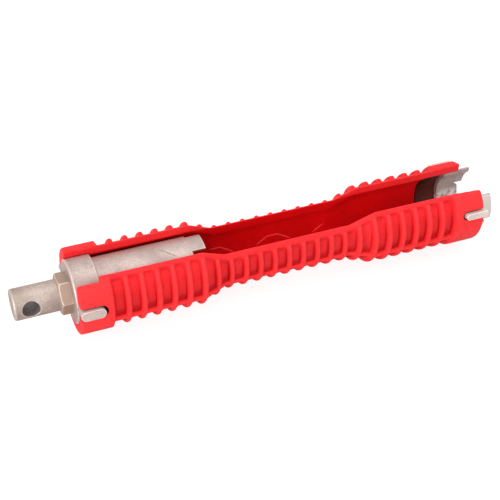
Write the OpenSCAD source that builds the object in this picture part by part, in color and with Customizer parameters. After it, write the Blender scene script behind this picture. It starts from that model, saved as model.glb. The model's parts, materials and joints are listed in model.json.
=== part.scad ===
// Double-ended basin wrench: a moulded ribbed tube, open along the top, with a keyed
// metal sleeve and drive stub drawn into one end and an open crown socket in the other.
// Millimetres. X runs along the tool, the drive stub towards -X. Z is up, through the
// open channel. The tool lies on Z = 0 and is centred on X = 0, Y = 0.

/* [Body] */

// Length of the moulded body between its end faces
body_len = 278; // [240:1:320]

// Radius of the plain end collars
collar_r = 27.5; // [22:0.5:34]

// Length of each plain end collar
collar_len = 20.4; // [14:0.1:30]

// Outer radius of the smooth rails beside the ribs, full section
rail_r = 24.6; // [20:0.1:30]

// Outer radius of the smooth rails at the waist
waist_rail_r = 19.5; // [16:0.1:24]

// Depth of the recessed panel floor below the rails
panel_drop = 2.2; // [1:0.1:3]

// Radius of the bore between the collars
bore_r = 19.4; // [16:0.1:22]

// Radius of the bore at the waist
waist_bore_r = 14.7; // [11:0.1:17]

// Where the waist begins and ends: start of the first taper
taper_1_start = 80.5; // [60:0.5:100]

// Length of the first taper
taper_1_len = 15; // [8:0.5:30]

// Start of the second taper
taper_2_start = 182.5; // [160:0.5:200]

// Length of the second taper
taper_2_len = 17.5; // [8:0.5:30]

/* [Channel] */

// Half width of the channel opening between the collars
channel_half = 12.4; // [8:0.1:16]

// Height of the flat top of the collars above the axis
flat_top = 21.35; // [18:0.05:26]

// Half width of the opening in the sleeve-end collar, front side
collar_1_half = 17; // [12:0.1:20]

// Half width of the opening at the socket-end face, front side, where it has flared
collar_2_half = 14.2; // [10:0.1:20]

/* [Ribs] */

// Number of ribs between the collars
rib_count = 23; // [10:1:30]

// Crest radius of the ribs, full section
rib_r = 26.8; // [23:0.1:30]

// Crest radius of the ribs at the waist
waist_rib_r = 20.9; // [17:0.1:25]

// Width of a rib at its crest
rib_top = 2.3; // [1:0.1:3]

// Width of a rib at its foot
rib_foot = 4.3; // [2:0.1:5]

// Angle from the top to the centre of the lower rail
low_rail_angle = 108; // [95:1:130]

// Width of the lower rail
low_rail_w = 2.8; // [1.5:0.1:5]

// Radius of the lower rail's top, full section
low_rail_r = 26; // [23:0.1:28]

// Radius of the lower rail's top at the waist
waist_low_rail_r = 20.3; // [17:0.1:23]

/* [Keys and slots] */

// Angle from the top to the front sleeve key; the back one is opposite to it
key_1_angle = 79; // [60:1:90]

// Width of a sleeve key
key_1_w = 6.6; // [4:0.1:10]

// Radius to the outer face of a sleeve key
key_1_r = 29; // [26:0.1:31]

// Width of the slot around a sleeve key
slot_1_w = 8.6; // [5:0.1:12]

// Length of the slot in the sleeve-end collar
slot_1_len = 16.7; // [8:0.1:19]

// Angle from the top to each socket key
key_2_angle = 68; // [50:1:85]

// Width of a socket key
key_2_w = 4.2; // [3:0.1:8]

// Radius to the outer face of a socket key
key_2_r = 30.3; // [26:0.1:32]

// Width of the slot around a socket key
slot_2_w = 5.9; // [4:0.1:10]

// Length of the slot in the socket-end collar
slot_2_len = 15.8; // [8:0.1:19]

/* [Sleeve] */

// Radius of the sleeve's collar
sleeve_collar_r = 20.6; // [18:0.1:24]

// Length of the sleeve's collar
sleeve_collar_len = 16.2; // [10:0.1:19]

// Outer radius of the sleeve's tube
sleeve_r = 17.8; // [14:0.1:20]

// Wall of the sleeve's tube
sleeve_wall = 2.2; // [1:0.1:4]

// Distance from the body's end face to the tips of the sleeve's teeth
sleeve_tip = 86; // [60:0.5:100]

// Depth of the notches between the teeth
sleeve_notch = 9; // [4:0.5:14]

// Angle that one sleeve tooth covers
sleeve_tooth_angle = 46; // [20:1:60]

// Turn of the sleeve's teeth towards the back
sleeve_tooth_turn = 4.5; // [0:0.5:20]

/* [Drive stub] */

// Diameter of the round drive rod
rod_d = 20; // [14:0.5:26]

// Distance from the body's end face to the free end of the rod
rod_reach = 36.4; // [25:0.1:60]

// Width across flats of the hexagon
hex_af = 23.2; // [19:0.1:30]

// Length of the hexagon
hex_len = 7.3; // [4:0.1:12]

// Diameter of the cross hole
cross_hole_d = 11; // [6:0.1:14]

// Distance from the rod's free end to the cross hole
cross_hole_at = 10.2; // [7:0.1:20]

// Turn of the drive stub about its axis
driver_turn = 13; // [0:1:30]

/* [Socket] */

// Outer radius of the open socket
socket_r = 21.3; // [18:0.1:24]

// Wall of the socket's thin rear part
socket_thin = 1.4; // [1:0.1:3]

// Wall of the socket's crown
socket_wall = 3.2; // [2:0.1:5]

// Half width of the socket's open top
socket_half = 13.5; // [8:0.1:18]

// Height of the socket's upper edges above the axis, under the lips of the channel
socket_top = 15.1; // [12:0.1:18]

// Depth of the socket inside the body
socket_depth = 26.5; // [15:0.1:40]

// Length of the socket's thin rear part
socket_rear = 16; // [6:0.1:24]

// How far the crown ring stands out of the body
crown_out = 6.6; // [2:0.1:12]

// How far the tall crown teeth stand out of the body
tooth_out = 9.8; // [3:0.1:16]

/* [Hidden] */

$fn = 96;
sleeve_face = 0.8;
x_min = -rod_reach;
x_max = body_len + tooth_out;
x_mid = (x_min + x_max) / 2;
flat_w = 7;
axis_z = sqrt(collar_r * collar_r - flat_w * flat_w / 4);
pitch = (body_len - 2 * collar_len) / (rib_count + 1);
shoulder = 1.9;
flare_x = body_len - collar_len - 4;
step_x = collar_len - 5.4;
play = 0.3;
seat_1_r = sleeve_collar_r + play;
seat_2_r = socket_r + play;
seat_1_len = sleeve_collar_len + 0.4 - sleeve_face;
seat_2_len = socket_depth + 0.4;
t1 = taper_1_start;
t2 = taper_1_start + taper_1_len;
t3 = taper_2_start;
t4 = taper_2_start + taper_2_len;

// Puts a part drawn from the sleeve-end face of the body into the shared frame.
module place() { translate([-x_mid, 0, axis_z]) children(); }

// Turns a solid drawn about Z so that its axis lies along +X.
module along_x(x = 0) { translate([x, 0, 0]) rotate([0, 90, 0]) children(); }

// Turns a direction drawn along +Z to an angle from the top, positive to the front.
module around(a) { rotate([a, 0, 0]) children(); }

// The sleeve's two keys are opposite each other.
function key_1_at(s) = s > 0 ? key_1_angle : key_1_angle - 180;

function blend(x, full, waist) =
    x <= t1 ? full :
    x < t2 ? full + (waist - full) * (x - t1) / (t2 - t1) :
    x <= t3 ? waist :
    x < t4 ? waist + (full - waist) * (x - t3) / (t4 - t3) : full;

// A solid of revolution along X that follows the waist, from x = a to x = b.
module waisted(a, b, full, waist, lag = 0) {
    along_x() rotate_extrude()
        polygon([[0, a], [full, a], [full, t1 + lag], [waist, t2 + lag],
                 [waist, t3 - lag], [full, t4 - lag], [full, b], [0, b]]);
}

// A plain round bar along X.
module bar(a, b, r) { along_x(a) cylinder(r = r, h = b - a); }

// Collar with a small edge break at its end face and a sloped shoulder to the panels.
module collar() {
    rotate([0, 90, 0]) rotate_extrude()
        polygon([[0, 0], [collar_r - 0.8, 0], [collar_r, 0.8], [collar_r, collar_len],
                 [rail_r - panel_drop, collar_len + shoulder], [0, collar_len + shoulder]]);
}

// One arc of a rib, from angle a0 to a1 measured from the top towards the front.
module rib_arc(x, r, a0, a1) {
    rotate([a0 - 180, 0, 0]) along_x(x)
        rotate_extrude(angle = a1 - a0)
            polygon([[r - 5.4, -rib_foot / 2], [r - 5.4, rib_foot / 2],
                     [r - 3.6, rib_foot / 2], [r - 0.9, rib_top / 2 + 0.3],
                     [r - 0.2, rib_top / 2 - 0.3], [r, rib_top / 2 - 0.8],
                     [r, 0.8 - rib_top / 2], [r - 0.2, 0.3 - rib_top / 2],
                     [r - 0.9, -rib_top / 2 - 0.3], [r - 3.6, -rib_foot / 2]]);
}

module ribs() {
    low_half = 2.6;
    a_low = low_rail_angle - low_half;
    a_under = low_rail_angle + low_half;
    for (i = [1 : rib_count]) {
        x = collar_len + i * pitch;
        r = blend(x, rib_r, waist_rib_r);
        a_up = asin((channel_half + 3.1) / blend(x, rail_r, waist_rail_r));
        rib_arc(x, r, a_up, a_low);
        rib_arc(x, r, -a_low, -a_up);
        rib_arc(x, r, a_under, 360 - a_under);
    }
}

module rails() {
    a = collar_len;
    b = body_len - collar_len;
    intersection() {
        waisted(a, b, rail_r, waist_rail_r);
        translate([a, -channel_half - 2.6, 0])
            cube([b - a, 2 * channel_half + 5.2, collar_r]);
    }
    intersection() {
        waisted(a, b, low_rail_r, waist_low_rail_r);
        for (s = [-1, 1]) around(s * low_rail_angle)
            translate([a, -low_rail_w / 2, 0]) cube([b - a, low_rail_w, collar_r]);
    }
}

// A round-ended bar along X standing radially, drawn along +Z: used for keys and slots.
module stadium(x0, x1, w, r0, r1, open0 = false, open1 = false) {
    a = open0 ? x0 : x0 + w / 2;
    b = open1 ? x1 : x1 - w / 2;
    translate([a, -w / 2, r0]) cube([b - a, w, r1 - r0]);
    if (!open0) translate([a, 0, r0]) cylinder(d = w, h = r1 - r0, $fn = 48);
    if (!open1) translate([b, 0, r0]) cylinder(d = w, h = r1 - r0, $fn = 48);
}

// The open channel seen from above. Its front side is wider in the first collar and flares
// in the last one; its back side is straight.
module channel_cut() {
    linear_extrude(collar_r + 5)
        polygon([[-1, channel_half], [-1, -collar_1_half], [step_x, -collar_1_half],
                 [step_x, -channel_half], [flare_x, -channel_half],
                 [body_len + 1, -collar_2_half], [body_len + 1, channel_half]]);
}

// Cutter that rounds the upper corners of an end collar, seen from the side.
module end_round(x, s, r) {
    top = flat_top + 0.2;
    steps = 6;
    arc = [for (i = [0 : steps]) let (a = 90 * i / steps)
           [x + s * (r - r * cos(a)), top - r + r * sin(a)]];
    translate([0, 2 * collar_r, 0]) rotate([90, 0, 0]) linear_extrude(4 * collar_r)
        polygon(concat([[x - s, top - r]], arc, [[x + s * r, top + 6], [x - s, top + 6]]));
}

module body_shape() {
    difference() {
        union() {
            waisted(1, body_len - 1, rail_r - panel_drop, waist_rail_r - panel_drop);
            collar();
            translate([body_len, 0, 0]) mirror([1, 0, 0]) collar();
            rails();
            ribs();
        }
        waisted(-1, body_len + 1, bore_r, waist_bore_r, 2.2);
        bar(-1, seat_1_len, seat_1_r);
        // Seat of the socket, which stops under the lips of the channel.
        intersection() {
            bar(body_len - seat_2_len, body_len + 1, seat_2_r);
            translate([body_len - seat_2_len - 1, -collar_r, -collar_r])
                cube([seat_2_len + 3, 2 * collar_r, collar_r + socket_top + play]);
        }
        channel_cut();
        end_round(0, 1, 1);
        end_round(body_len, -1, 0.6);
        // Bevelled outer corner of the back wall at the socket end.
        translate([body_len, 13.4, flat_top]) rotate([0, 45, 35])
            translate([-8, -8, 0]) cube(16);
        // Flat top of the collars and of the ribs' upper ends.
        translate([-1, -collar_r - 1, flat_top])
            cube([body_len + 2, 2 * collar_r + 2, collar_r]);
        for (s = [-1, 1]) {
            around(key_1_at(s))
                stadium(-1, slot_1_len, slot_1_w, bore_r - 5, collar_r + 4, open0 = true);
            around(s * key_2_angle)
                stadium(body_len - slot_2_len, body_len + 1, slot_2_w, bore_r - 5,
                        collar_r + 4, open1 = true);
        }
        translate([-1, -collar_r, -collar_r - 5])
            cube([body_len + 2, 2 * collar_r, collar_r + 5 - axis_z]);
    }
}

module sleeve_key(s) {
    around(key_1_at(s))
        stadium(-0.5, 15.1, key_1_w, sleeve_collar_r - 1.6, key_1_r);
}

module socket_key(s) {
    around(s * key_2_angle)
        stadium(body_len - slot_2_len + 1, body_len + 1.4, key_2_w, socket_r - 0.9, key_2_r,
                open1 = true);
}

module sleeve_shape() {
    inner = sleeve_r - sleeve_wall;
    gap = 90 - sleeve_tooth_angle;
    first = sleeve_tooth_angle / 2 - sleeve_tooth_turn;
    difference() {
        union() {
            along_x(-sleeve_face) rotate_extrude()
                polygon([[0, 0], [sleeve_collar_r - 0.6, 0], [sleeve_collar_r, 0.6],
                         [sleeve_collar_r, sleeve_collar_len - 0.4],
                         [sleeve_collar_r - 0.4, sleeve_collar_len], [0, sleeve_collar_len]]);
            bar(1, sleeve_tip, sleeve_r);
        }
        bar(8, sleeve_tip + 1, inner);
        // Seat for the stub of the driver.
        bar(-2, 9, rod_d / 2 - 2);
        // Notches between the four teeth at the inner end.
        for (k = [0 : 3])
            ring_slice(sleeve_tip - sleeve_notch, sleeve_tip + 1, sleeve_r,
                       90 * k + first, 90 * k + first + gap);
        for (s = [-1, 1]) sleeve_key(s);
    }
}

module driver_shape() {
    hex_face = sleeve_face + hex_len;
    rotate([-driver_turn, 0, 0]) difference() {
        union() {
            along_x(-rod_reach) rotate_extrude()
                polygon([[0, 0], [rod_d / 2 - 0.7, 0], [rod_d / 2, 0.7],
                         [rod_d / 2, rod_reach - hex_face + 1], [0, rod_reach - hex_face + 1]]);
            intersection() {
                along_x(-hex_face) rotate([0, 0, 90])
                    cylinder(d = hex_af / cos(30), h = hex_len, $fn = 6);
                along_x(-hex_face) rotate_extrude()
                    polygon([[0, 0], [hex_af / 2 + 0.6, 0], [hex_af / 2 + 2, 1],
                             [hex_af / 2 + 2, hex_len], [0, hex_len]]);
            }
            bar(-sleeve_face - 1, 8, rod_d / 2 - 2);
        }
        translate([cross_hole_at - rod_reach, -rod_d, 0]) rotate([-90, 0, 0])
            cylinder(d = cross_hole_d, h = 2 * rod_d);
    }
}

// A slice of a ring between two angles from the top, used to cut the socket's crown.
module ring_slice(x0, x1, r, a0, a1) {
    rotate([a0 - 180, 0, 0]) along_x(x0)
        rotate_extrude(angle = a1 - a0) translate([r - 8, 0]) square([12, x1 - x0]);
}

module socket_shape() {
    x0 = body_len - socket_depth;
    tip = body_len + tooth_out;
    ring = body_len + crown_out;
    difference() {
        along_x() rotate_extrude()
            polygon([[socket_r - socket_thin, x0], [socket_r, x0], [socket_r, tip - 0.5],
                     [socket_r - 0.5, tip], [socket_r - socket_wall, tip],
                     [socket_r - socket_wall, x0 + socket_rear],
                     [socket_r - socket_thin, x0 + socket_rear]]);
        // Open top, in line with the channel.
        translate([x0 - 1, -socket_half, 0])
            cube([socket_depth + tooth_out + 2, 2 * socket_half, socket_r + 1]);
        translate([x0 - 1, -socket_r - 1, socket_top])
            cube([socket_depth + tooth_out + 2, 2 * socket_r + 2, socket_r]);
        // Lower ring between the tall teeth, and the notch beside each tooth.
        ring_slice(ring, tip + 1, socket_r, 92, 268);
        for (a = [92, 260]) ring_slice(ring - 3, tip + 1, socket_r, a, a + 8);
        for (a = [132, 178, 224]) ring_slice(ring - 2, tip + 1, socket_r, a - 4, a + 4);
        for (s = [-1, 1]) socket_key(s);
    }
}

module body() { color([0.85, 0.07, 0.07]) place() body_shape(); }
module sleeve() { color([0.78, 0.74, 0.7]) place() sleeve_shape(); }
module sleeve_key_front() { color([0.8, 0.76, 0.72]) place() sleeve_key(1); }
module sleeve_key_back() { color([0.8, 0.76, 0.72]) place() sleeve_key(-1); }
module driver() { color([0.66, 0.6, 0.54]) place() driver_shape(); }
module socket() { color([0.72, 0.68, 0.64]) place() socket_shape(); }
module socket_key_front() { color([0.8, 0.76, 0.72]) place() socket_key(1); }
module socket_key_back() { color([0.8, 0.76, 0.72]) place() socket_key(-1); }

body();
sleeve();
sleeve_key_front();
sleeve_key_back();
driver();
socket();
socket_key_front();
socket_key_back();
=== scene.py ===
import json
import math

import bpy
from mathutils import Matrix, Vector

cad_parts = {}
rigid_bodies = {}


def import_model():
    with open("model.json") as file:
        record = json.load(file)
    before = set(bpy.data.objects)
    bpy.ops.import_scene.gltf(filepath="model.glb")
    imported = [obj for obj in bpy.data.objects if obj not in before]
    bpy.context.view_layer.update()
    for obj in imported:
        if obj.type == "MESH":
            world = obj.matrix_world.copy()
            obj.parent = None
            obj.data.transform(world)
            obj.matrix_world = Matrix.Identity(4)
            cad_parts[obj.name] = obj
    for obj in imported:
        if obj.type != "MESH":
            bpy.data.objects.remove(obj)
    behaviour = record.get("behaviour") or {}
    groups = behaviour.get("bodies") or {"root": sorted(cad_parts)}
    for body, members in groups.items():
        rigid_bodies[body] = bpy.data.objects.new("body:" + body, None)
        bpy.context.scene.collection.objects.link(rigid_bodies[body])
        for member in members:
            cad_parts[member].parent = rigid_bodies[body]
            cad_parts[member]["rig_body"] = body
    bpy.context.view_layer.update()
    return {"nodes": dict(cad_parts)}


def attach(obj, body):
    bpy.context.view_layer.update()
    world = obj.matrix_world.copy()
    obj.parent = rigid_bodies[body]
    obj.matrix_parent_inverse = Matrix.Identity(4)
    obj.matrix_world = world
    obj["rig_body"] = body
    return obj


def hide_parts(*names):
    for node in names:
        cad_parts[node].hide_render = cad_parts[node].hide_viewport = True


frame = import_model()
scene = bpy.context.scene

AXIS_Z = 0.0272764          # height of the tool's axis above the floor
FACE_X = -0.1257            # the body's sleeve-end face
COLLAR = 20.4               # length of each plain collar, millimetres
RIB_PITCH = 237.2 / 24      # distance between ribs, millimetres
DEGREES = 57.29578          # degrees in a radian
CAMERA_AT = (-0.2194, -0.4467, 0.5166)
CAMERA_AIM = (-0.00687, -0.00056, AXIS_Z)
CAMERA_ROLL = 5.283         # degrees about the line of sight

# ---------------------------------------------------------------- node helpers


def new_mat(name):
    m = bpy.data.materials.new(name)
    m.use_nodes = True
    nt = m.node_tree
    nt.nodes.clear()
    out = nt.nodes.new("ShaderNodeOutputMaterial")
    bsdf = nt.nodes.new("ShaderNodeBsdfPrincipled")
    nt.links.new(bsdf.outputs[0], out.inputs[0])
    return m, nt, bsdf


def link(nt, value, socket):
    if isinstance(value, bpy.types.NodeSocket):
        nt.links.new(value, socket)
    else:
        socket.default_value = value


def mth(nt, op, a, b=0.0):
    n = nt.nodes.new("ShaderNodeMath")
    n.operation = op
    link(nt, a, n.inputs[0])
    link(nt, b, n.inputs[1])
    return n.outputs[0]


def step(nt, value, lo, hi, to_lo=0.0, to_hi=1.0):
    """Smooth change from to_lo, below lo, to to_hi, above hi."""
    n = nt.nodes.new("ShaderNodeMapRange")
    n.interpolation_type = "SMOOTHSTEP"
    for key, v in (("Value", value), ("From Min", lo), ("From Max", hi),
                   ("To Min", to_lo), ("To Max", to_hi)):
        link(nt, v, n.inputs[key])
    return n.outputs[0]


def ramp(nt, value, lo, hi, to_lo=0.0, to_hi=1.0):
    """The same as step, but straight between the two ends."""
    out = step(nt, value, lo, hi, to_lo, to_hi)
    out.node.interpolation_type = "LINEAR"
    return out


def mix(nt, fac, a, b):
    n = nt.nodes.new("ShaderNodeMix")
    n.data_type = "RGBA"
    link(nt, fac, n.inputs[0])
    link(nt, a, n.inputs[6])
    link(nt, b, n.inputs[7])
    return n.outputs[2]


def object_co(nt, scale=None, turn=(0, 0, 0)):
    co = nt.nodes.new("ShaderNodeTexCoord").outputs["Object"]
    if scale is None:
        return co
    m = nt.nodes.new("ShaderNodeMapping")
    m.inputs["Scale"].default_value = scale
    m.inputs["Rotation"].default_value = turn
    nt.links.new(co, m.inputs["Vector"])
    return m.outputs[0]


def noise(nt, vec, scale, detail=3.0, rough=0.5, distort=0.0):
    n = nt.nodes.new("ShaderNodeTexNoise")
    n.inputs["Scale"].default_value = scale
    n.inputs["Detail"].default_value = detail
    n.inputs["Roughness"].default_value = rough
    n.inputs["Distortion"].default_value = distort
    nt.links.new(vec, n.inputs["Vector"])
    return n.outputs["Fac"]


def bump(nt, layers):
    """A chain of bumps: each layer is (height, strength, distance in metres)."""
    last = None
    for height, strength, distance in layers:
        b = nt.nodes.new("ShaderNodeBump")
        b.inputs["Strength"].default_value = strength
        b.inputs["Distance"].default_value = distance
        nt.links.new(height, b.inputs["Height"])
        if last is not None:
            nt.links.new(last, b.inputs["Normal"])
        last = b.outputs[0]
    return last


def axis_place(nt):
    """Place about the tool's axis: x from the sleeve-end face and radius in millimetres, and
    the angle from the top, positive to the front, in degrees."""
    s = nt.nodes.new("ShaderNodeSeparateXYZ")
    nt.links.new(object_co(nt), s.inputs[0])
    x = mth(nt, "MULTIPLY", mth(nt, "SUBTRACT", s.outputs[0], FACE_X), 1000.0)
    y = mth(nt, "MULTIPLY", s.outputs[1], -1000.0)
    z = mth(nt, "MULTIPLY", mth(nt, "SUBTRACT", s.outputs[2], AXIS_Z), 1000.0)
    r = mth(nt, "SQRT", mth(nt, "ADD", mth(nt, "MULTIPLY", y, y), mth(nt, "MULTIPLY", z, z)))
    a = mth(nt, "MULTIPLY", mth(nt, "ARCTAN2", y, z), DEGREES)
    return x, r, a


def edges(nt, lo, hi):
    g = nt.nodes.new("ShaderNodeNewGeometry")
    return step(nt, g.outputs["Pointiness"], lo, hi)


# ---------------------------------------------------------------- materials


def plastic(name="red_plastic", highlight_lift=0.0):
    """Moulded red polymer: spark-eroded grain, soft gloss, scuffs; painted shade on the panels,
    beside the ribs, in the bore and the key slots; painted highlight on the rib crests, edges and
    bore bead."""
    m, nt, b = new_mat(name)
    co = object_co(nt)
    cloud = noise(nt, co, 38, 4, 0.55)
    fine = noise(nt, co, 420, 4, 0.6)
    x, rad, ang = axis_place(nt)
    # Radii are brought back to those of the full section, outside and in the bore.
    narrow = mth(nt, "MULTIPLY", ramp(nt, x, 80.5, 95.5), ramp(nt, x, 182.5, 200, 1.0, 0.0))
    full = mth(nt, "ADD", rad, mth(nt, "MULTIPLY", narrow, 5.1))
    narrow = mth(nt, "MULTIPLY", ramp(nt, x, 82.7, 97.7), ramp(nt, x, 180.3, 197.8, 1.0, 0.0))
    inside = step(nt, mth(nt, "ADD", rad, mth(nt, "MULTIPLY", narrow, 4.7)), 19.8, 20.5, 1.0, 0.0)
    # At the waist the channel's side faces get the bore's painted shade and matt roughness too.
    turn = mth(nt, "DIVIDE", ang, DEGREES)
    side = mth(nt, "ABSOLUTE", mth(nt, "MULTIPLY", mth(nt, "SINE", turn), rad))
    up = mth(nt, "MULTIPLY", mth(nt, "COSINE", turn), rad)
    face = mth(nt, "MULTIPLY", step(nt, side, 12.55, 12.85, 1.0, 0.0), step(nt, up, 2.0, 3.0))
    depth = mth(nt, "ADD", rad, mth(nt, "MULTIPLY", narrow, 1.3))
    face = mth(nt, "MULTIPLY", face, step(nt, depth, 19.8, 20.5, 1.0, 0.0))
    inside = mth(nt, "MAXIMUM", inside, face)
    away = mth(nt, "ABSOLUTE", ang)
    panel = mth(nt, "MULTIPLY", step(nt, away, 37, 41),
                mth(nt, "MULTIPLY", step(nt, x, 21.2, 21.8), step(nt, x, 256.2, 256.8, 1.0, 0.0)))
    floor_ = mth(nt, "MULTIPLY", step(nt, full, 23.4, 24.3, 1.0, 0.0), panel)
    # Painted shade in a band of the panel floor, none near the upper rail and full towards the
    # lower one.
    foot_shade = mth(nt, "MULTIPLY", mth(nt, "MULTIPLY", step(nt, full, 22.40, 22.8),
                                   step(nt, full, 23.2, 24.6, 1.0, 0.0)), panel)
    # Painted shade on the panel floor beside each rib.
    off = mth(nt, "PINGPONG", mth(nt, "SUBTRACT", x, COLLAR), RIB_PITCH / 2)
    beside_shade = mth(nt, "MULTIPLY", step(nt, off, 2.0, 3.8, 1.0, 0.0), floor_)
    # The painted shade is stronger at the waist and towards the lower rail, and faint under the
    # upper one.
    beside_shade = mth(nt, "MULTIPLY", beside_shade, mth(nt, "ADD", mth(nt, "MULTIPLY", narrow, 0.6), 0.4))
    beside_shade = mth(nt, "MULTIPLY", beside_shade, step(nt, away, 46, 80, 0.1, 1.0))
    foot_shade = mth(nt, "MULTIPLY", foot_shade, step(nt, away, 46, 72, 0.0, 1.0))
    # Painted shadow in the pockets' lower parts, towards the lower rail.
    low = mth(nt, "MULTIPLY", floor_, mth(nt, "MULTIPLY", step(nt, away, 84, 103, 0.0, 0.7),
                                          step(nt, away, 109, 111, 1.0, 0.0)))
    beside_shade = mth(nt, "MAXIMUM", beside_shade, low)
    # Painted highlight: the raised rib crests and rails get a lighter red.
    proud = step(nt, full, 24.9, 26.4)
    tone = step(nt, cloud, 0.35, 0.65)
    col = mix(nt, tone, (0.83, 0.0230, 0.0270, 1), (0.90, 0.0270, 0.0320, 1))
    # Painted shade: the panel floors get a darker red.
    shaded_panel_red = mix(nt, tone, (0.77, 0.0220, 0.0270, 1), (0.85, 0.0260, 0.0320, 1))
    # Painted shade: the bore gets a darker, plainer red than the outside.
    bore = mix(nt, tone, (0.61, 0.0004, 0.0020, 1), (0.70, 0.0006, 0.0030, 1))
    col = mix(nt, mth(nt, "MULTIPLY", proud, 0.6), col, (0.95, 0.040, 0.044, 1))
    col = mix(nt, floor_, col, shaded_panel_red)
    # Painted shade beside the ribs and in the pockets' lower parts.
    col = mix(nt, mth(nt, "MULTIPLY", beside_shade, 0.7), col, (0.34, 0.0006, 0.0022, 1))
    # Painted shade along the panel band.
    col = mix(nt, mth(nt, "MULTIPLY", foot_shade, 0.55), col, (0.46, 0.0006, 0.0024, 1))
    col = mix(nt, inside, col, bore)
    # Painted shade on the walls of the key slots.
    for at, half, end in ((79, 4.5, -1), (-101, 4.5, -1), (68, 3.15, 1), (-68, 3.15, 1)):
        turn = mth(nt, "SINE", mth(nt, "DIVIDE", mth(nt, "SUBTRACT", ang, float(at)), DEGREES))
        off = mth(nt, "ABSOLUTE", mth(nt, "MULTIPLY", turn, rad))
        slot_shade = mth(nt, "MULTIPLY", step(nt, off, half, half + 0.15, 1.0, 0.0),
                   step(nt, rad, 26.4, 27.3, 1.0, 0.0))
        slot_shade = mth(nt, "MULTIPLY", slot_shade, step(nt, x, 16.8, 17.1, 1.0, 0.0) if end < 0 else
                   step(nt, x, 261.7, 262.0))
        slot_shade = mth(nt, "MULTIPLY", slot_shade, step(nt, rad, 20.2, 20.8))
        col = mix(nt, mth(nt, "MULTIPLY", slot_shade, 0.85), col, (0.090, 0.0010, 0.0014, 1))
    # Painted highlight: the bore's bead is drawn in a lighter red.
    if highlight_lift:
        col = mix(nt, highlight_lift, col, (0.92, 0.060, 0.060, 1))
    col = mix(nt, step(nt, fine, 0.45, 0.75, 0, 0.30), col, (0.52, 0.0020, 0.0026, 1))
    # Painted highlight along sharp edges, in patches.
    edge_highlight = edges(nt, 0.515, 0.55)
    edge_highlight = mth(nt, "MULTIPLY", edge_highlight, step(nt, noise(nt, co, 160, 3), 0.35, 0.6, 0.35, 1.0))
    col = mix(nt, mth(nt, "MULTIPLY", edge_highlight, 0.6), col, (0.95, 0.030, 0.034, 1))
    # Hairline scuffs along and across the handle.
    hair = noise(nt, object_co(nt, (30, 900, 900), (0.2, 0.1, 0.35)), 1.0, 2)
    scuff = step(nt, hair, 0.70, 0.74)
    scuff = mth(nt, "MULTIPLY", scuff, step(nt, noise(nt, co, 55, 2), 0.5, 0.62))
    col = mix(nt, mth(nt, "MULTIPLY", scuff, 0.25), col, (0.88, 0.05, 0.05, 1))
    nt.links.new(col, b.inputs["Base Color"])
    rough = step(nt, cloud, 0.3, 0.7, 0.44, 0.54)
    rough = mth(nt, "SUBTRACT", rough, mth(nt, "MULTIPLY", edge_highlight, 0.08))
    rough = mth(nt, "ADD", rough, mth(nt, "MULTIPLY", scuff, 0.15))
    # The bore and the panels' corners keep the dull, matt finish of the mould.
    rough = mth(nt, "ADD", rough, mth(nt, "MULTIPLY", mth(nt, "MAXIMUM", foot_shade, beside_shade), 0.2))
    rough = mth(nt, "ADD", rough, mth(nt, "MULTIPLY", inside, 0.3))
    nt.links.new(rough, b.inputs["Roughness"])
    b.inputs["Specular IOR Level"].default_value = 0.12
    grain = noise(nt, co, 2400, 2, 0.6)
    wave = noise(nt, co, 90, 2)
    nt.links.new(bump(nt, [(wave, 0.25, 0.0006), (grain, 0.10, 0.00015), (scuff, 0.2, 0.00006)]),
                 b.inputs["Normal"])
    return m


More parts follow.
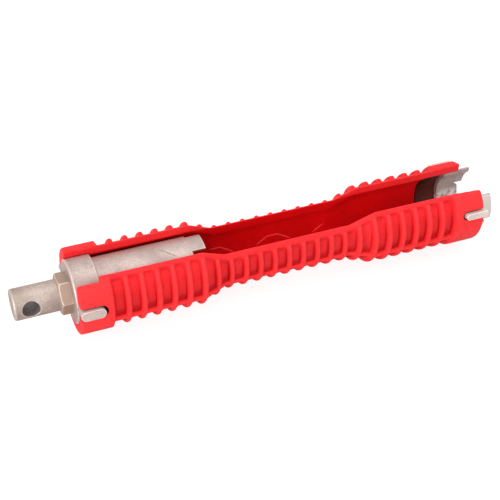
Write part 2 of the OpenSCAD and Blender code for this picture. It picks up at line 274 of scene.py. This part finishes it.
def metal(name, dark, light, rough, stain, metallic=0.75, scored=False, turned=False,
          hexed=False):
    """Blasted, nickel-plated casting: fine mottle, dull specks, scratches, painted edge
    highlights.
    scored adds the long scratch on the sleeve's tube; turned adds lathe lines, a painted
    highlight low on the socket and painted shade with a painted red reflection inside its rear
    part; hexed darkens the hexagon and paints shade into the cross hole of the driver."""
    m, nt, b = new_mat(name)
    co = object_co(nt)
    cloud = noise(nt, co, 60, 3, 0.5)
    mottle = noise(nt, co, 950, 5, 0.7)
    col = mix(nt, step(nt, cloud, 0.3, 0.7, 0.35, 1.0), dark, light)
    col = mix(nt, step(nt, mottle, 0.40, 0.66, 0, 0.6), col, dark)
    speck = step(nt, noise(nt, co, 620, 4, 0.7, 0.8), 0.62, 0.70)
    col = mix(nt, mth(nt, "MULTIPLY", speck, 0.55), col, stain)
    hair = noise(nt, object_co(nt, (60, 1300, 1300), (0.1, 0.15, 0.5)), 1.0, 2)
    lines = step(nt, hair, 0.69, 0.73)
    lines = mth(nt, "MULTIPLY", lines, step(nt, noise(nt, co, 130, 2), 0.48, 0.6))
    x, rad, ang = axis_place(nt)
    if scored:
        on = mth(nt, "ADD", 58.0, mth(nt, "MULTIPLY", ang, 0.373))
        off = mth(nt, "ABSOLUTE", mth(nt, "SUBTRACT", x, on))
        cut = step(nt, off, 0.20, 0.60, 1.0, 0.0)
        cut = mth(nt, "MULTIPLY", cut, mth(nt, "MULTIPLY", step(nt, ang, -4, -1),
                                           step(nt, ang, 19, 22, 1.0, 0.0)))
        lines = mth(nt, "MAXIMUM", lines, cut)
    col = mix(nt, mth(nt, "MULTIPLY", lines, 0.8), col, stain)
    if turned:
        rings = noise(nt, object_co(nt, (2600, 30, 30)), 1.0, 3, 0.6)
        col = mix(nt, step(nt, rings, 0.46, 0.60, 0, 0.8), col, dark)
        # Painted highlight, a near-white patch, on the lower part of the socket.
        low = mth(nt, "MULTIPLY", step(nt, mth(nt, "ABSOLUTE", ang), 98, 116),
                  step(nt, noise(nt, co, 300, 3), 0.40, 0.55))
        col = mix(nt, mth(nt, "MULTIPLY", low, 0.8), col, (0.88, 0.82, 0.79, 1))
        # Painted shade with a painted red reflection inside the rear part of the socket, which is
        # also made fully metallic.
        rear = step(nt, x, 266.6, 267.4, 1.0, 0.0)
        rear = mth(nt, "MULTIPLY", rear, step(nt, rad, 20.4, 20.8, 1.0, 0.0))
        col = mix(nt, step(nt, rad, 20.9, 21.1, 0, 0.8), col, (0.82, 0.74, 0.70, 1))
        col = mix(nt, mth(nt, "MULTIPLY", rear, 0.95), col, (0.110, 0.014, 0.006, 1))
    if hexed:
        on_hex = mth(nt, "MULTIPLY", step(nt, x, -8.5, -8.2), step(nt, rad, 10.15, 10.4))
        col = mix(nt, mth(nt, "MULTIPLY", on_hex, 0.75), col, (0.40, 0.28, 0.205, 1))
        # Painted shade, streaked, in the cross hole.
        hole = mth(nt, "MULTIPLY", step(nt, rad, 9.55, 9.85, 1.0, 0.0), step(nt, x, -35.6, -35.0))
        streak = noise(nt, object_co(nt, (900, 60, 900), (0.22, 0, 0)), 1.0, 3, 0.6)
        col = mix(nt, mth(nt, "MULTIPLY", hole, step(nt, streak, 0.35, 0.65, 0.95, 0.6)), col,
                  (0.23, 0.20, 0.20, 1))
    # Painted highlight along sharp edges.
    edge_highlight = edges(nt, 0.53, 0.60) if turned else edges(nt, 0.503, 0.518)
    bright = tuple(min(1, c * 1.35) for c in light[:3]) + (1,)
    col = mix(nt, mth(nt, "MULTIPLY", edge_highlight, 0.6), col, bright)
    nt.links.new(col, b.inputs["Base Color"])
    b.inputs["Metallic"].default_value = metallic
    if turned:
        nt.links.new(mth(nt, "ADD", metallic, mth(nt, "MULTIPLY", rear, 1 - metallic)),
                     b.inputs["Metallic"])
    r = step(nt, cloud, 0.3, 0.7, rough + 0.06, rough)
    r = mth(nt, "ADD", r, mth(nt, "MULTIPLY", speck, 0.12))
    r = mth(nt, "SUBTRACT", r, mth(nt, "MULTIPLY", edge_highlight, 0.12))
    nt.links.new(r, b.inputs["Roughness"])
    layers = [(noise(nt, co, 420, 3), 0.20, 0.0003), (noise(nt, co, 1700, 3, 0.7), 0.30, 0.00018),
              (lines, 0.35, 0.0001)]
    if turned:
        layers.append((rings, 0.35, 0.0001))
    nt.links.new(bump(nt, layers), b.inputs["Normal"])
    return m


RED = plastic()
RED_BEAD = plastic("red_bead", 0.9)
SLEEVE = metal("sleeve_casting", (0.33, 0.255, 0.23, 1), (0.56, 0.45, 0.415, 1), 0.55,
               (0.16, 0.12, 0.11, 1), 0.60, scored=True)
DRIVE = metal("drive_forging", (0.31, 0.245, 0.21, 1), (0.53, 0.43, 0.38, 1), 0.55,
              (0.15, 0.11, 0.10, 1), 0.60, hexed=True)
CROWN = metal("socket_casting", (0.34, 0.265, 0.24, 1), (0.66, 0.54, 0.50, 1), 0.45,
              (0.12, 0.09, 0.08, 1), 0.70, turned=True)
KEY = metal("key_casting", (0.42, 0.33, 0.29, 1), (0.66, 0.54, 0.49, 1), 0.50,
            (0.30, 0.23, 0.20, 1), 0.50)
KEY_LIGHT = metal("key_bright", (0.56, 0.46, 0.41, 1), (0.86, 0.74, 0.68, 1), 0.45,
                  (0.34, 0.27, 0.23, 1), 0.45)

# ---------------------------------------------------------------- shapes


def shown(name, mesh, mat):
    ob = bpy.data.objects.new(name, mesh)
    scene.collection.objects.link(ob)
    mesh.materials.clear()
    mesh.materials.append(mat)
    mesh.polygons.foreach_set("use_smooth", [True] * len(mesh.polygons))
    return ob


def baked(ob):
    bpy.context.view_layer.update()
    dg = bpy.context.evaluated_depsgraph_get()
    return bpy.data.meshes.new_from_object(ob.evaluated_get(dg))


def soften(name, voxel, passes, tris, mat):
    """A copy of a CAD node with the rounded edges of a moulding or casting, which stands for
    the node: remeshed at voxel metres, smoothed passes times, thinned to tris triangles."""
    src = frame["nodes"][name]
    tmp = bpy.data.objects.new("tmp", src.data.copy())
    scene.collection.objects.link(tmp)
    r = tmp.modifiers.new("remesh", "REMESH")
    r.mode, r.voxel_size = "VOXEL", voxel
    s = tmp.modifiers.new("smooth", "SMOOTH")
    s.factor, s.iterations = 0.5, passes
    me = baked(tmp)
    n = sum(len(p.vertices) - 2 for p in me.polygons)
    if n > tris:
        tmp.data = me
        tmp.modifiers.clear()
        d = tmp.modifiers.new("lean", "DECIMATE")
        d.ratio = tris / n
        me = baked(tmp)
    bpy.data.objects.remove(tmp)
    ob = shown(name + "_surface", me, mat)
    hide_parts(name)
    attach(ob, src["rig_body"])
    return ob


soften("body", 0.00045, 3, 195000, RED)
soften("sleeve", 0.00035, 2, 70000, SLEEVE)
soften("driver", 0.0003, 3, 50000, DRIVE)
soften("socket", 0.0003, 2, 60000, CROWN)
for k in ("sleeve_key_front", "sleeve_key_back", "socket_key_front", "socket_key_back"):
    soften(k, 0.0002, 4, 14000, KEY if k.startswith("sleeve") else KEY_LIGHT)


def waist_bore(x):
    """Radius of the bore at x millimetres from the body's sleeve-end face."""
    a, b, c, d = 82.7, 97.7, 180.3, 197.8
    full, waist = 19.4, 14.7
    if x <= a or x >= d:
        return full
    if x < b:
        return full + (waist - full) * (x - a) / (b - a)
    if x <= c:
        return waist
    return waist + (full - waist) * (x - c) / (d - c)


def bead(points, r, name, mat):
    """A thin half-buried bead of radius r metres along points (x, angle) on the bore's wall."""
    verts, faces = [], []
    line = []
    for (x0, a0), (x1, a1) in zip(points, points[1:]):
        n = max(2, int(math.hypot(x1 - x0, (a1 - a0) * 0.26) / 0.7))
        line += [(x0 + (x1 - x0) * i / n, a0 + (a1 - a0) * i / n) for i in range(n)]
    line.append(points[-1])
    pts = []
    for x, a in line:
        rad = waist_bore(x) - 0.05
        t = math.radians(a)
        pts.append(Vector((FACE_X + x / 1000, -math.sin(t) * rad / 1000,
                           AXIS_Z + math.cos(t) * rad / 1000)))
    k = 8
    for i, p in enumerate(pts):
        d = (pts[min(i + 1, len(pts) - 1)] - pts[max(i - 1, 0)]).normalized()
        out = Vector((0, p.y, p.z - AXIS_Z)).normalized()
        side = d.cross(out).normalized()
        fade = min(1.0, 0.25 + min(i, len(pts) - 1 - i) / 5)
        for j in range(k):
            t = 2 * math.pi * j / k
            verts.append(p + (side * math.cos(t) * 1.3 + out * math.sin(t)) * r * fade)
    for i in range(len(pts) - 1):
        for j in range(k):
            a, b = i * k + j, i * k + (j + 1) % k
            faces.append((a, b, b + k, a + k))
    faces.append(tuple(range(k))[::-1])
    faces.append(tuple(len(verts) - k + j for j in range(k)))
    me = bpy.data.meshes.new(name)
    me.from_pydata(verts, [], faces)
    ob = shown(name, me, mat)
    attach(ob, "housing")
    return ob


# Trapezoid wave moulded on both side walls of the bore.
for side in (1, -1):
    for i in range(3):
        x = 128.2 + 41.3 * (i - 1)
        pts = [(x, 131), (x + 8.9, 114), (x + 16.4, 114), (x + 25.3, 133)]
        pts = (pts[1:], pts, pts[:2])[i]
        bead([(px, side * pa) for px, pa in pts], 0.00042,
             f"bore_bead_{'front' if side > 0 else 'back'}_{i}", RED_BEAD)

# ---------------------------------------------------------------- floor, light, camera

HALF = 20                   # half the floor's side, metres
me = bpy.data.meshes.new("floor")
me.from_pydata([(-HALF, -HALF, 0), (HALF, -HALF, 0), (HALF, HALF, 0), (-HALF, HALF, 0)],
               [], [(0, 1, 2, 3)])
floor = bpy.data.objects.new("floor", me)
scene.collection.objects.link(floor)
fm, fnt, fb = new_mat("floor_pale")
# The camera sees near white, while less light is thrown onto the tool.
lp = fnt.nodes.new("ShaderNodeLightPath")
seen = lp.outputs["Is Camera Ray"]
grey = mix(fnt, seen, (0.60, 0.60, 0.60, 1), (0.30, 0.30, 0.30, 1))
fnt.links.new(grey, fb.inputs["Base Color"])
fb.inputs["Emission Color"].default_value = (1, 1, 1, 1)
fnt.links.new(mth(fnt, "MULTIPLY", seen, 0.80), fb.inputs["Emission Strength"])
fb.inputs["Roughness"].default_value = 0.95
fb.inputs["Specular IOR Level"].default_value = 0.0
me.materials.append(fm)

world = bpy.data.worlds.new("studio")
scene.world = world
world.use_nodes = True
bg = world.node_tree.nodes["Background"]
bg.inputs[0].default_value = (1, 1, 1, 1)
bg.inputs[1].default_value = 0.80


def facing(place, target):
    """The turn that points a light or a camera at place towards target."""
    return (Vector(target) - Vector(place)).to_track_quat("-Z", "Y")


def area(name, loc, size, power, target=(0, 0, 0.02)):
    d = bpy.data.lights.new(name, "AREA")
    d.shape, d.size, d.energy = "DISK", size, power
    o = bpy.data.objects.new(name, d)
    scene.collection.objects.link(o)
    o.location = loc
    o.rotation_euler = facing(loc, target).to_euler()
    return o


area("key", (-0.35, -1.1, 1.0), 0.6, 5.5)
area("top", (0.1, 0.25, 1.5), 0.9, 9)
area("left", (-1.2, -0.45, 0.35), 0.5, 8)

cam = bpy.data.cameras.new("camera")
cam.lens, cam.sensor_width = 77.3, 36
cam.clip_start, cam.clip_end = 0.01, 50
cam_o = bpy.data.objects.new("camera", cam)
scene.collection.objects.link(cam_o)
turn = facing(CAMERA_AT, CAMERA_AIM).to_matrix().to_4x4()
roll = Matrix.Rotation(math.radians(CAMERA_ROLL), 4, "Z")
cam_o.matrix_world = Matrix.Translation(CAMERA_AT) @ turn @ roll
scene.camera = cam_o
scene.view_settings.view_transform = "Standard"
scene.view_settings.look = "None"
